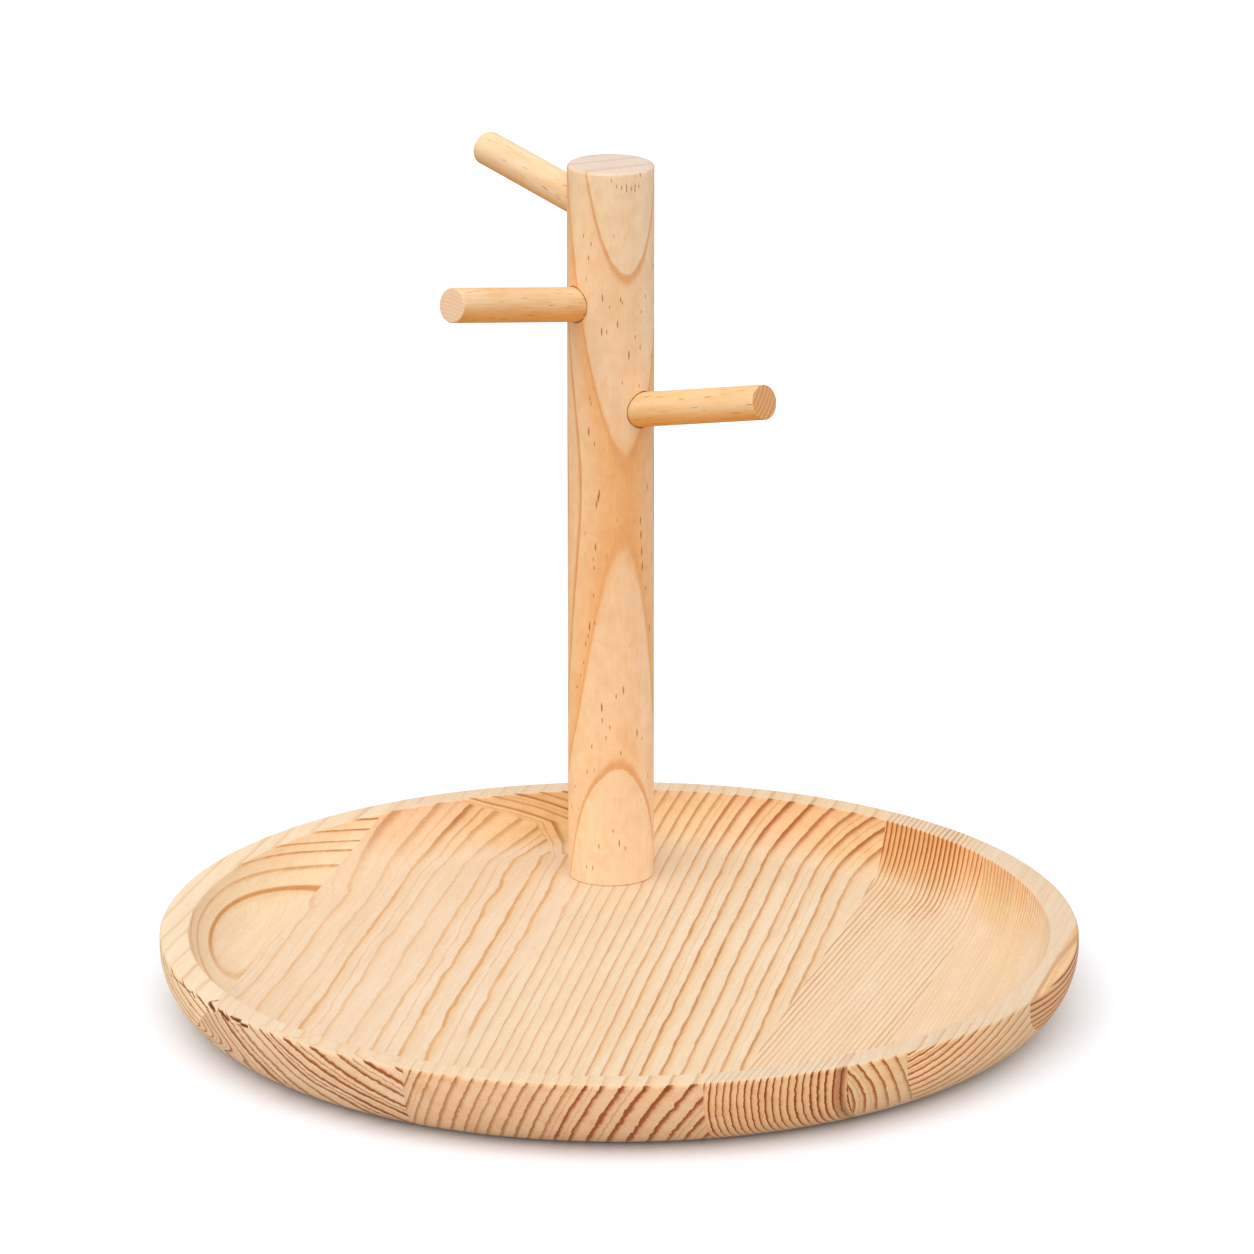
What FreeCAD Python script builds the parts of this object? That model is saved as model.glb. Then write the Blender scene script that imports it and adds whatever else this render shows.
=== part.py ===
"""Table-top key stand: a round pine tray with an upright peg post.

The tray is a panel of edge-glued pine strips that was turned round after
gluing: dished on top, flat underneath, with a quarter-round lower edge.
A plain dowel post stands on the tray floor close to its back edge, glued and
held by one countersunk wood screw from below. Three plain dowel pegs are
glued into blind holes bored upwards-and-outwards into the post.

Frame: millimetres, +Z up, z = 0 on the table, origin under the tray's centre,
+Y from the tray's centre towards the post, so the front of the stand is -Y.
"""
import FreeCAD, Part
import math
import os

V = FreeCAD.Vector

# ---------------------------------------------------------------- dimensions
# tray, turned as one piece
tray_r = 155.0            # outer radius of the rim
tray_h = 26.0             # overall height
tray_floor_t = 9.2        # thickness of the floor under the dish
tray_edge_round_r = 22.8  # quarter-round between the side and the flat base
cove_r = 20.7             # concave wall inside, tangent to the floor
floor_r = 124.9           # radius where the flat floor runs into the cove
rim_outer_soft = 1.2      # eased outer arris of the rim
rim_inner_soft = 0.8      # eased inner arris of the rim

# edge-glued strips: direction of the grain from +Y towards +X, and the glue
# planes left to right, each as its distance from the tray's centre across the
# grain at z = 0 and its lean across the grain for each millimetre of height;
# the leftmost strip was planed with a slanted edge, the others are square
grain_deg = 15.82
glue_planes = [(-129.5, 0.75), (-33.0, 0.0), (63.5, 0.0), (104.5, 0.0),
               (120.5, 0.0), (149.5, 0.0)]

# post
post_r = 15.0
post_x, post_y = 0.0, 103.4
post_top = 265.0
post_top_soft = 1.2
post_foot_chamfer = 0.3

# pegs: plain dowels, all cut to one length
peg_r = 6.0
peg_len = 75.0
peg_hole_r = 6.1
peg_hole_spare = 0.6      # glue space behind the peg's inner end
peg_end_soft = 0.45
peg_root_chamfer = 0.8
# name: (direction from +X, anticlockwise, in degrees; upward tilt in degrees;
#        height where the peg's axis passes the post's axis;
#        distance along the peg from there to its outer end;
#        how far the bore passes beside the post's axis, to the left seen along
#        the peg from the post outwards)
pegs = {
    "peg_back": (123.7, 7.3, 246.4, 75.4, 0.0),
    "peg_left": (-136.3, 10.2, 214.8, 74.1, -3.0),
    "peg_right": (-45.0, 13.2, 177.2, 73.6, 0.0),
}

# countersunk wood screw 4.0 x 50, head flush just inside the base
screw_len = 50.0
screw_head_r = 3.95
screw_sink = 0.2          # head below the base plane
screw_shank_r = 1.45
screw_core_r = 1.25
screw_thread_r = 2.0
screw_pitch = 1.8
screw_shank_end = 16.0    # height where the thread starts
screw_tip_len = 4.5
screw_hole_r = 2.2        # clearance hole in the tray floor


# ------------------------------------------------------------------- helpers
def lathe(points):
    """Solid of revolution about Z from a closed list of (r, z) or arc items.

    An item is ("l", r, z) for a straight line to a point, or
    ("a", rm, zm, r, z) for an arc through (rm, zm) to (r, z).
    """
    edges = []
    last = V(points[0][1], 0, points[0][2])
    first = last
    for it in points[1:]:
        if it[0] == "l":
            nxt = V(it[1], 0, it[2])
            edges.append(Part.LineSegment(last, nxt).toShape())
        else:
            mid = V(it[1], 0, it[2])
            nxt = V(it[3], 0, it[4])
            edges.append(Part.Arc(last, mid, nxt).toShape())
        last = nxt
    if (last - first).Length > 1e-7:
        edges.append(Part.LineSegment(last, first).toShape())
    face = Part.Face(Part.Wire(edges))
    return face.revolve(V(0, 0, 0), V(0, 0, 1), 360)


def circle_edges(shape, radius, z):
    """Round edges of a given radius and height."""
    out = []
    for e in shape.Edges:
        c = e.Curve
        if isinstance(c, Part.Circle) and abs(c.Radius - radius) < 1e-3 \
                and abs(c.Center.z - z) < 1e-3:
            out.append(e)
    return out


def one_solid(shape):
    """The single solid of a boolean result."""
    s = shape.removeSplitter() if hasattr(shape, "removeSplitter") else shape
    solids = s.Solids
    if len(solids) != 1:
        raise RuntimeError("expected one solid, got %d" % len(solids))
    return solids[0]


# --------------------------------------------------------------------- screw
def screw_outline():
    """(r, z) points of the screw, from its head in the base to its tip."""
    z0 = screw_sink
    tip = z0 + screw_len
    pts = [("l", 0.0, z0), ("l", screw_head_r, z0)]
    pts.append(("l", screw_shank_r, z0 + screw_head_r - screw_shank_r))
    pts.append(("l", screw_shank_r, screw_shank_end))
    pts.append(("l", screw_core_r, screw_shank_end + 0.3))
    z = screw_shank_end + 0.6
    end = tip - screw_tip_len
    while z + 0.9 < end:
        pts.append(("l", screw_core_r, z))
        pts.append(("l", screw_thread_r, z + 0.38))
        pts.append(("l", screw_thread_r, z + 0.52))
        pts.append(("l", screw_core_r, z + 0.9))
        z += screw_pitch
    pts.append(("l", screw_core_r, end))
    pts.append(("l", 0.0, tip))
    return pts


def at_post(shape):
    shape.translate(V(post_x, post_y, 0))
    return shape


screw_body = at_post(lathe(screw_outline()))
recess_parts = []
for half_len, depth in ((2.0, 0.9), (1.15, 1.9)):
    for turn in (0, 90):
        b = Part.makeBox(2 * half_len, 0.9, depth + 1.0,
                         V(-half_len, -0.45, screw_sink - 1.0))
        b.rotate(V(0, 0, 0), V(0, 0, 1), turn + 37)
        recess_parts.append(at_post(b))
recess = recess_parts[0].fuse(recess_parts[1:])
post_screw = one_solid(screw_body.cut(recess))

# ---------------------------------------------------------------------- tray
R, H, ro = tray_r, tray_h, tray_edge_round_r
s45 = math.sqrt(0.5)
zf = tray_floor_t
fi, fo = rim_inner_soft, rim_outer_soft
# the cove runs up to fi below the rim's top; the arris above it is eased with
# two small flats, as sanding leaves it, and so is the outer one
tan_z = H - fi
ang_top = math.acos((zf + cove_r - tan_z) / cove_r)
tan_r = floor_r + cove_r * math.sin(ang_top)
cove_mid = (floor_r + cove_r * math.sin(0.5 * ang_top),
            zf + cove_r - cove_r * math.cos(0.5 * ang_top))
flat = 1.0 - s45

tray = lathe([
    ("l", 0.0, 0.0),
    ("l", R - ro, 0.0),
    ("a", R - ro + ro * s45, ro - ro * s45, R, ro),
    ("l", R, H - fo),
    ("l", R - fo * flat, H - fo * flat),
    ("l", R - fo, H),
    ("l", tan_r + fi, H),
    ("l", tan_r + fi * flat, H - fi * flat),
    ("l", tan_r, tan_z),
    ("a", cove_mid[0], cove_mid[1], floor_r, zf),
    ("l", 0.0, zf),
])
# where the turned faces close on themselves, well inside one wide strip
tray.rotate(V(0, 0, 0), V(0, 0, 1), -100.0)

# screw hole with its countersink
sink_mouth = screw_head_r + screw_sink
hole = lathe([
    ("l", 0.0, -1.0),
    ("l", sink_mouth + 1.0, -1.0),
    ("l", screw_hole_r, sink_mouth - screw_hole_r),
    ("l", screw_hole_r, zf + 1.0),
    ("l", 0.0, zf + 1.0),
])
tray = tray.cut(at_post(hole))

# strips between the glue planes
bounds = [(-R - 40.0, 0.0)] + glue_planes + [(R + 10.0, 0.0)]
z_lo, z_hi = -10.0, H + 10.0
staves = {}
for i in range(len(bounds) - 1):
    (lo, lo_lean), (hi, hi_lean) = bounds[i], bounds[i + 1]
    y0 = -R - 20.0
    corners = [V(lo + lo_lean * z_lo, y0, z_lo), V(hi + hi_lean * z_lo, y0, z_lo),
               V(hi + hi_lean * z_hi, y0, z_hi), V(lo + lo_lean * z_hi, y0, z_hi)]
    slab = Part.Face(Part.makePolygon(corners + corners[:1])).extrude(V(0, -2 * y0, 0))
    slab.rotate(V(0, 0, 0), V(0, 0, 1), -grain_deg)
    staves["tray_stave_%d" % (i + 1)] = one_solid(tray.common(slab))

# ---------------------------------------------------------------------- post
post = Part.makeCylinder(post_r, post_top - zf, V(0, 0, zf))
post = post.makeFillet(post_top_soft, circle_edges(post, post_r, post_top))
post = post.makeChamfer(post_foot_chamfer, circle_edges(post, post_r, zf))
post = at_post(post)


def peg_direction(az, tilt):
    a, t = math.radians(az), math.radians(tilt)
    return V(math.cos(t) * math.cos(a), math.cos(t) * math.sin(a), math.sin(t))


peg_solids = {}
for name, (az, tilt, z0, reach, aside) in pegs.items():
    d = peg_direction(az, tilt)
    a = math.radians(az)
    o = V(post_x - aside * math.sin(a), post_y + aside * math.cos(a), z0)
    inner = reach - peg_len
    bore = Part.makeCylinder(peg_hole_r, post_r + 12.0 - (inner - peg_hole_spare),
                             o + d * (inner - peg_hole_spare), d)
    post = post.cut(bore)
    outline = [
        ("l", 0.0, inner),
        ("l", peg_r - peg_root_chamfer, inner),
        ("l", peg_r, inner + peg_root_chamfer),
        ("l", peg_r, reach - peg_end_soft),
        ("a", peg_r - peg_end_soft + peg_end_soft * s45,
         reach - peg_end_soft + peg_end_soft * s45, peg_r - peg_end_soft, reach),
        ("l", 0.0, reach),
    ]
    peg = lathe(outline)
    peg.Placement = FreeCAD.Placement(o, FreeCAD.Rotation(V(0, 0, 1), d))
    peg_solids[name] = peg

# the thread has cut its own way into the post's end grain
post = one_solid(post.cut(screw_body))

# -------------------------------------------------------------------- output
os.makedirs("parts", exist_ok=True)
nodes = dict(staves)
nodes["post"] = post
nodes.update(peg_solids)
nodes["post_screw"] = post_screw
for name, shape in nodes.items():
    if not shape.isValid():
        raise RuntimeError(name + " is not valid")
    shape.exportStep("parts/%s.step" % name)
    bb = shape.BoundBox
    print("%-14s %10.1f mm3  x %.1f..%.1f  y %.1f..%.1f  z %.1f..%.1f" % (
        name, shape.Volume, bb.XMin, bb.XMax, bb.YMin, bb.YMax, bb.ZMin, bb.ZMax))
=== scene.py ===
"""Looks of the table-top key stand: turned pine tray, dowel post, three pegs.

Metres, in the same frame as the CAD model: +Z up, z = 0 on the table, origin
under the tray's centre, +Y towards the post. Lengths in the helpers below are
in millimetres and are scaled when a mesh or a material is made.
"""

import bpy
import bmesh
import math
from mathutils import Matrix, Vector


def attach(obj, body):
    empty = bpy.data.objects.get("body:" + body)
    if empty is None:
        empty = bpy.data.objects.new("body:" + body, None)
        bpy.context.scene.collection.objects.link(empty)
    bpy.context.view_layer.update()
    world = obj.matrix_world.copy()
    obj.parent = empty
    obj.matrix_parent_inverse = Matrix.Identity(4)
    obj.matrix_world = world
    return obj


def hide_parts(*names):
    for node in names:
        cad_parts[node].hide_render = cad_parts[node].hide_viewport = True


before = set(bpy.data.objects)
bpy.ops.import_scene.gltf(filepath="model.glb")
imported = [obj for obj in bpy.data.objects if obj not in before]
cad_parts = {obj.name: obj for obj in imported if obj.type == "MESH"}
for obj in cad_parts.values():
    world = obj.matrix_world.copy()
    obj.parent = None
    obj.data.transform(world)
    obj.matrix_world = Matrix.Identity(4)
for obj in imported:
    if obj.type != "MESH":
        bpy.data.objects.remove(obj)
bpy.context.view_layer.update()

MM = 0.001

# ------------------------------------------------------------------ dimensions
TRAY_R, TRAY_H, FLOOR_T = 155.0, 26.0, 9.2
EDGE_R = 22.8              # quarter-round under the rim
COVE_R, FLOOR_R = 20.7, 124.9
SOFT_OUT, SOFT_IN = 1.2, 0.8
GRAIN = math.radians(15.82)
N_AX = (math.cos(GRAIN), -math.sin(GRAIN), 0.0)   # across the grain
U_AX = (math.sin(GRAIN), math.cos(GRAIN), 0.0)    # along the grain
# glue planes: distance across the grain at z = 0, and lean for each mm of height
GLUE = [(-129.5, 0.75), (-33.0, 0.0), (63.5, 0.0), (104.5, 0.0), (120.5, 0.0),
        (149.5, 0.0)]

POST_R, POST_X, POST_Y, POST_TOP = 15.0, 0.0, 103.4, 265.0
PEG_R, PEG_LEN, HOLE_R = 6.0, 75.0, 6.1
# direction from +X, upward tilt, height of the axis at the post, reach of the
# outer end, and how far the bore passes beside the post's axis
PEGS = {
    "peg_back": (123.7, 7.3, 246.4, 75.4, 0.0),
    "peg_left": (-136.3, 10.2, 214.8, 74.1, -3.0),
    "peg_right": (-45.0, 13.2, 177.2, 73.6, 0.0),
}


# --------------------------------------------------------------- mesh helpers
def arc(cx, cz, r, a0, a1, n):
    """Points on an arc in the (r, z) half-plane, angles in degrees."""
    out = []
    for i in range(n + 1):
        a = math.radians(a0 + (a1 - a0) * i / n)
        out.append((cx + r * math.cos(a), cz + r * math.sin(a)))
    return out


def spin(bm, profile, angles):
    """Closed turned body: profile runs from the axis below to the axis above.

    The first and last profile points lie on the axis; each becomes one vertex.
    """
    rows = []
    for r, z in profile[1:-1]:
        rows.append([bm.verts.new((r * math.cos(a) * MM, r * math.sin(a) * MM, z * MM))
                     for a in angles])
    lo = bm.verts.new((0, 0, profile[0][1] * MM))
    hi = bm.verts.new((0, 0, profile[-1][1] * MM))
    n = len(angles)
    for j in range(n):
        k = (j + 1) % n
        bm.faces.new((lo, rows[0][k], rows[0][j]))
        bm.faces.new((hi, rows[-1][j], rows[-1][k]))
        for i in range(len(rows) - 1):
            bm.faces.new((rows[i][j], rows[i][k], rows[i + 1][k], rows[i + 1][j]))
    return rows


def to_object(bm, name, sharp_deg=40.0):
    """Mesh object in the scene, smooth with sharp edges kept."""
    bmesh.ops.recalc_face_normals(bm, faces=bm.faces[:])
    for f in bm.faces:
        f.smooth = True
    lim = math.radians(sharp_deg)
    for e in bm.edges:
        if len(e.link_faces) == 2:
            e.smooth = e.calc_face_angle(0.0) < lim
    me = bpy.data.meshes.new(name)
    bm.to_mesh(me)
    bm.free()
    ob = bpy.data.objects.new(name, me)
    bpy.context.scene.collection.objects.link(ob)
    return ob


# ----------------------------------------------------------------- tray meshes
def tray_profile():
    ang_top = math.degrees(math.acos((FLOOR_T + COVE_R - (TRAY_H - SOFT_IN)) / COVE_R))
    tan_r = FLOOR_R + COVE_R * math.sin(math.radians(ang_top))
    p = [(0.0, 0.0), (40.0, 0.0), (90.0, 0.0)]
    p += arc(TRAY_R - EDGE_R, EDGE_R, EDGE_R, -90, -9, 24)
    p += arc(TRAY_R - EDGE_R, EDGE_R, EDGE_R, -8, 0, 8)
    p += [(TRAY_R, 23.2), (TRAY_R, 23.6), (TRAY_R, 24.0), (TRAY_R, 24.4)]
    p += arc(TRAY_R - SOFT_OUT, TRAY_H - SOFT_OUT, SOFT_OUT, 0, 90, 6)
    p += [(TRAY_R - 3.2, TRAY_H), (tan_r + 3.0, TRAY_H)]
    p += arc(tan_r + SOFT_IN, TRAY_H - SOFT_IN, SOFT_IN, 90, 180, 5)
    p += arc(FLOOR_R, FLOOR_T + COVE_R, COVE_R, -90 + ang_top - 1.5, -90, 24)
    p += [(90.0, FLOOR_T), (40.0, FLOOR_T), (0.0, FLOOR_T)]
    return p


def tray_angles():
    """Even steps, with finer ones where the rim is chipped."""
    out = []
    a = -180.0
    while a < 180.0 - 1e-6:
        out.append(math.radians(a))
        a += 0.125 if -167.0 <= a < -141.0 else 0.5
    return out


# torn fibres along the outer arris at the left, where the slanted joint comes
# out: from one polar angle and height to another, half width, depth
CHIPS = [
    (-165.6, 23.5, -161.7, 24.6, 0.20, 0.20),
    (-161.7, 24.6, -157.3, 24.7, 0.24, 0.25),
    (-157.1, 25.2, -156.0, 24.1, 0.36, 0.40),
    (-154.7, 25.1, -153.2, 24.1, 0.40, 0.45),
    (-153.2, 24.1, -152.0, 22.6, 0.30, 0.30),
    (-152.3, 25.4, -150.6, 24.3, 0.80, 1.00),
    (-148.9, 25.2, -147.2, 23.8, 0.55, 0.70),
    (-146.7, 25.4, -145.6, 25.0, 0.35, 0.55),
    (-145.6, 25.2, -144.7, 25.3, 0.62, 0.90),
    (-144.4, 24.6, -143.1, 24.8, 0.55, 0.85),
    (-157.8, 20.3, -157.6, 20.0, 0.40, 0.30),
]


def chip_at(x, y, z):
    """Depth of the torn spots at a point of the tray's side, and their mask."""
    s = math.atan2(y, x) * TRAY_R
    d = 0.0
    m = 0.0
    for a0, h0, a1, h1, w, dep in CHIPS:
        s0, s1 = math.radians(a0) * TRAY_R, math.radians(a1) * TRAY_R
        vx, vz = s1 - s0, h1 - h0
        k = ((s - s0) * vx + (z - h0) * vz) / (vx * vx + vz * vz)
        k = min(1.0, max(0.0, k))
        q = math.hypot(s - s0 - k * vx, z - h0 - k * vz) / w
        d = max(d, dep * max(0.0, 1.0 - (q / 1.35) ** 2))
        m = max(m, 1.0 - 0.5 * q)
    return d, m


def build_tray():
    full = bmesh.new()
    spin(full, tray_profile(), tray_angles())
    chip = full.verts.layers.float.new("chip")
    for v in full.verts:
        x, y, z = (c / MM for c in v.co)
        r = math.hypot(x, y)
        if r > 150.0 and z > 17.0 and y < 0.0 and x < 0.0:
            d, m = chip_at(x, y, z)
            v[chip] = m
            if d > 0.0:
                v.co = ((x - d * x / r) * MM, (y - d * y / r) * MM, (z - 0.35 * d) * MM)
    staves = []
    for i in range(len(GLUE) + 1):
        bm = full.copy()
        for j, side in ((i - 1, 1), (i, -1)):
            if not 0 <= j < len(GLUE):
                continue
            a0, lean = GLUE[j]
            no = Vector((N_AX[0], N_AX[1], -lean)).normalized() * side
            co = Vector((a0 * N_AX[0] * MM, a0 * N_AX[1] * MM, 0.0))
            cut = bmesh.ops.bisect_plane(
                bm, geom=bm.verts[:] + bm.edges[:] + bm.faces[:], dist=1e-8,
                plane_co=co, plane_no=no, clear_inner=True)
            edges = [g for g in cut["geom_cut"] if isinstance(g, bmesh.types.BMEdge)]
            bmesh.ops.edgeloop_fill(bm, edges=edges)
        staves.append(to_object(bm, "tray_strip_%d" % (i + 1)))
    full.free()
    # countersunk hole for the post's screw, in the middle strip
    bore(staves[2], [(0.0, -1.0), (5.15, -1.0), (2.2, 1.95), (2.2, 6.0), (2.2, FLOOR_T + 1.0),
                     (0.0, FLOOR_T + 1.0)], 64, at_post())
    return staves


# ------------------------------------------------------------ post and pegs
def round_steps(n):
    return [2 * math.pi * i / n for i in range(n)]


def peg_dir(az, tilt):
    a, t = math.radians(az), math.radians(tilt)
    return Vector((math.cos(t) * math.cos(a), math.cos(t) * math.sin(a), math.sin(t)))


def peg_matrix(az, tilt, z0, aside):
    """From a body along +Z to the peg's place; local X stays level."""
    d = peg_dir(az, tilt)
    x = Vector((0, 0, 1)).cross(d).normalized()
    y = d.cross(x)
    m = Matrix((x, y, d)).transposed().to_4x4()
    a = math.radians(az)
    m.translation = Vector((POST_X - aside * math.sin(a), POST_Y + aside * math.cos(a), z0)) * MM
    return m


def at_post():
    return Matrix.Translation(Vector((POST_X, POST_Y, 0)) * MM)


def bore(ob, profile, steps, matrix):
    """Cut a turned hole out of a body and keep its mouth crisp."""
    hb = bmesh.new()
    spin(hb, profile, round_steps(steps))
    bmesh.ops.transform(hb, matrix=matrix, verts=hb.verts[:])
    cutter = to_object(hb, "bore")
    mod = ob.modifiers.new("bore", "BOOLEAN")
    mod.operation = "DIFFERENCE"
    mod.solver = "EXACT"
    mod.object = cutter
    dg = bpy.context.evaluated_depsgraph_get()
    me = bpy.data.meshes.new_from_object(ob.evaluated_get(dg))
    old = ob.data
    name = old.name
    ob.modifiers.clear()
    ob.data = me
    bpy.data.meshes.remove(old)
    me.name = name
    cm = cutter.data
    bpy.data.objects.remove(cutter)
    bpy.data.meshes.remove(cm)
    bm = bmesh.new()
    bm.from_mesh(me)
    # the slivers that the cut leaves are merged away
    bmesh.ops.remove_doubles(bm, verts=bm.verts[:], dist=2e-5)
    bmesh.ops.triangulate(bm, faces=[f for f in bm.faces if len(f.verts) > 4])
    bmesh.ops.dissolve_degenerate(bm, edges=bm.edges[:], dist=2e-6)
    for f in bm.faces:
        f.smooth = True
    for e in bm.edges:
        if len(e.link_faces) == 2:
            e.smooth = e.calc_face_angle(0.0) < math.radians(35)
    bm.to_mesh(me)
    bm.free()


def build_post():
    bm = bmesh.new()
    soft, foot = 1.2, 0.3
    p = [(0.0, FLOOR_T), (5.0, FLOOR_T), (POST_R - foot, FLOOR_T), (POST_R, FLOOR_T + foot)]
    z = FLOOR_T + 2.0
    while z < POST_TOP - soft - 1.0:
        p.append((POST_R, z))
        z += 2.0
    p += arc(POST_R - soft, POST_TOP - soft, soft, 0, 90, 6)
    p += [(9.0, POST_TOP), (4.0, POST_TOP), (0.0, POST_TOP)]
    spin(bm, p, round_steps(144))
    bmesh.ops.translate(bm, vec=Vector((POST_X, POST_Y, 0)) * MM, verts=bm.verts[:])
    ob = to_object(bm, "post_turned")
    for name, (az, tilt, z0, reach, aside) in PEGS.items():
        lo = reach - PEG_LEN - 0.6
        hp = [(0.0, lo), (HOLE_R, lo)]
        zz = lo + 1.0
        while zz < POST_R + 12.0:
            hp.append((HOLE_R, zz))
            zz += 2.0
        hp += [(HOLE_R, POST_R + 12.0), (0.0, POST_R + 12.0)]
        bore(ob, hp, 72, peg_matrix(az, tilt, z0, aside))
    # the screw's hole in the foot
    bore(ob, [(0.0, 8.0), (2.05, 8.0), (2.05, 28.0), (2.05, 46.2), (0.0, 51.0)], 32, at_post())
    return ob


def build_peg(name):
    az, tilt, z0, reach, aside = PEGS[name]
    bm = bmesh.new()
    lo, soft, root = reach - PEG_LEN, 0.45, 0.8
    p = [(0.0, lo), (2.5, lo), (PEG_R - root, lo), (PEG_R, lo + root)]
    z = lo + 3.0
    while z < reach - soft - 1.0:
        p.append((PEG_R, z))
        z += 2.5
    p += arc(PEG_R - soft, reach - soft, soft, 0, 90, 5)
    p += [(3.0, reach), (0.0, reach)]
    spin(bm, p, round_steps(80))
    bmesh.ops.transform(bm, matrix=peg_matrix(az, tilt, z0, aside), verts=bm.verts[:])
    return to_object(bm, name + "_turned")


# ------------------------------------------------------------ material helpers
class Nodes:
    """Short forms for building a node material."""

    def __init__(self, name):
        self.mat = bpy.data.materials.new(name)
        self.mat.use_nodes = True
        self.t = self.mat.node_tree
        self.t.nodes.clear()
        self.out = self.t.nodes.new("ShaderNodeOutputMaterial")
        self.bsdf = self.t.nodes.new("ShaderNodeBsdfPrincipled")
        self.t.links.new(self.bsdf.outputs[0], self.out.inputs[0])

    def put(self, sock, v):
        if isinstance(v, bpy.types.NodeSocket):
            self.t.links.new(v, sock)
        elif v is not None:
            if hasattr(sock.default_value, "__len__"):
                n = len(sock.default_value)
                v = list(v) + [1.0] * (n - len(v))
                sock.default_value = v[:n]
            else:
                sock.default_value = v

    def m(self, op, a, b=None, c=None, clamp=False):
        n = self.t.nodes.new("ShaderNodeMath")
        n.operation = op
        n.use_clamp = clamp
        for s, v in zip(n.inputs, (a, b, c)):
            self.put(s, v)
        return n.outputs[0]

    def add(self, a, b):
        return self.m("ADD", a, b)

    def sub(self, a, b):
        return self.m("SUBTRACT", a, b)

    def mul(self, a, b):
        return self.m("MULTIPLY", a, b)

    def mad(self, a, b, c):
        return self.m("MULTIPLY_ADD", a, b, c)

    def dot(self, v, w):
        n = self.t.nodes.new("ShaderNodeVectorMath")
        n.operation = "DOT_PRODUCT"
        self.put(n.inputs[0], v)
        self.put(n.inputs[1], w)
        return n.outputs["Value"]

    def vmad(self, v, s, o):
        n = self.t.nodes.new("ShaderNodeVectorMath")
        n.operation = "MULTIPLY_ADD"
        self.put(n.inputs[0], v)
        self.put(n.inputs[1], s)
        self.put(n.inputs[2], o)
        return n.outputs[0]

    def vlen(self, v):
        n = self.t.nodes.new("ShaderNodeVectorMath")
        n.operation = "LENGTH"
        self.put(n.inputs[0], v)
        return n.outputs["Value"]

    def vec(self, x, y, z):
        n = self.t.nodes.new("ShaderNodeCombineXYZ")
        for s, v in zip(n.inputs, (x, y, z)):
            self.put(s, v)
        return n.outputs[0]

    def ramp(self, v, lo, hi, a=0.0, b=1.0, smooth=True):
        """Map Range from lo..hi to a..b, clamped."""
        n = self.t.nodes.new("ShaderNodeMapRange")
        n.interpolation_type = "SMOOTHSTEP" if smooth else "LINEAR"
        n.clamp = True
        self.put(n.inputs[0], v)
        for s, w in zip(n.inputs[1:5], (lo, hi, a, b)):
            self.put(s, w)
        return n.outputs[0]

    def curve(self, v, lo, hi, pts, smooth=False):
        """Piecewise curve through (x, y) points, x between lo and hi."""
        ys = [p[1] for p in pts]
        y0, y1 = min(ys), max(ys)
        n = self.t.nodes.new("ShaderNodeFloatCurve")
        n.inputs[0].default_value = 1.0
        c = n.mapping.curves[0]
        norm = [((x - lo) / (hi - lo), (y - y0) / (y1 - y0)) for x, y in pts]
        c.points[0].location = norm[0]
        c.points[1].location = norm[-1]
        for q in norm[1:-1]:
            c.points.new(*q)
        for q in c.points:
            q.handle_type = "AUTO_CLAMPED" if smooth else "VECTOR"
        n.mapping.update()
        t = self.ramp(v, lo, hi, 0.0, 1.0, smooth=False)
        self.put(n.inputs[1], t)
        return self.mad(n.outputs[0], y1 - y0, y0)

    def noise(self, v, scale=1.0, detail=2.0, rough=0.5, dist=0.0, w=None):
        n = self.t.nodes.new("ShaderNodeTexNoise")
        n.noise_dimensions = "3D" if w is None else "4D"
        self.put(n.inputs["Vector"], v)
        if w is not None:
            n.inputs["W"].default_value = w
        n.inputs["Scale"].default_value = scale
        n.inputs["Detail"].default_value = detail
        n.inputs["Roughness"].default_value = rough
        n.inputs["Distortion"].default_value = dist
        return n.outputs["Fac"]

    def hash1(self, v):
        n = self.t.nodes.new("ShaderNodeTexWhiteNoise")
        n.noise_dimensions = "1D"
        self.put(n.inputs["W"], v)
        return n.outputs["Value"]

    def voronoi(self, v, scale=1.0, rand=1.0):
        n = self.t.nodes.new("ShaderNodeTexVoronoi")
        n.feature = "F1"
        self.put(n.inputs["Vector"], v)
        n.inputs["Scale"].default_value = scale
        n.inputs["Randomness"].default_value = rand
        return n.outputs["Distance"], n.outputs["Color"]

    def mix(self, f, a, b, mode="MIX"):
        n = self.t.nodes.new("ShaderNodeMix")
        n.data_type = "RGBA"
        n.blend_type = mode
        n.clamp_factor = True
        self.put(n.inputs[0], f)
        self.put(n.inputs[6], a)
        self.put(n.inputs[7], b)
        return n.outputs[2]

    def coord(self):
        n = self.t.nodes.new("ShaderNodeTexCoord")
        return n.outputs["Object"], n.outputs["Normal"]

    def attr(self, name):
        n = self.t.nodes.new("ShaderNodeAttribute")
        n.attribute_name = name
        return n.outputs["Fac"]

    def bump(self, h, strength, distance):
        n = self.t.nodes.new("ShaderNodeBump")
        n.inputs["Strength"].default_value = strength
        n.inputs["Distance"].default_value = distance
        self.put(n.inputs["Height"], h)
        return n.outputs[0]


def lin(r, g, b):
    """8-bit display colour to the linear value a shader takes."""
    def f(c):
        c /= 255.0
        return c / 12.92 if c <= 0.04045 else ((c + 0.055) / 1.055) ** 2.4
    return (f(r), f(g), f(b), 1.0)


def dim(c, k):
    return (c[0] * k, c[1] * k, c[2] * k, 1.0)


K_FACE = 0.88              # how much of a display tone is the wood's own


def tone(r, g, b, k=K_FACE):
    return dim(lin(r, g, b), k)


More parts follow.
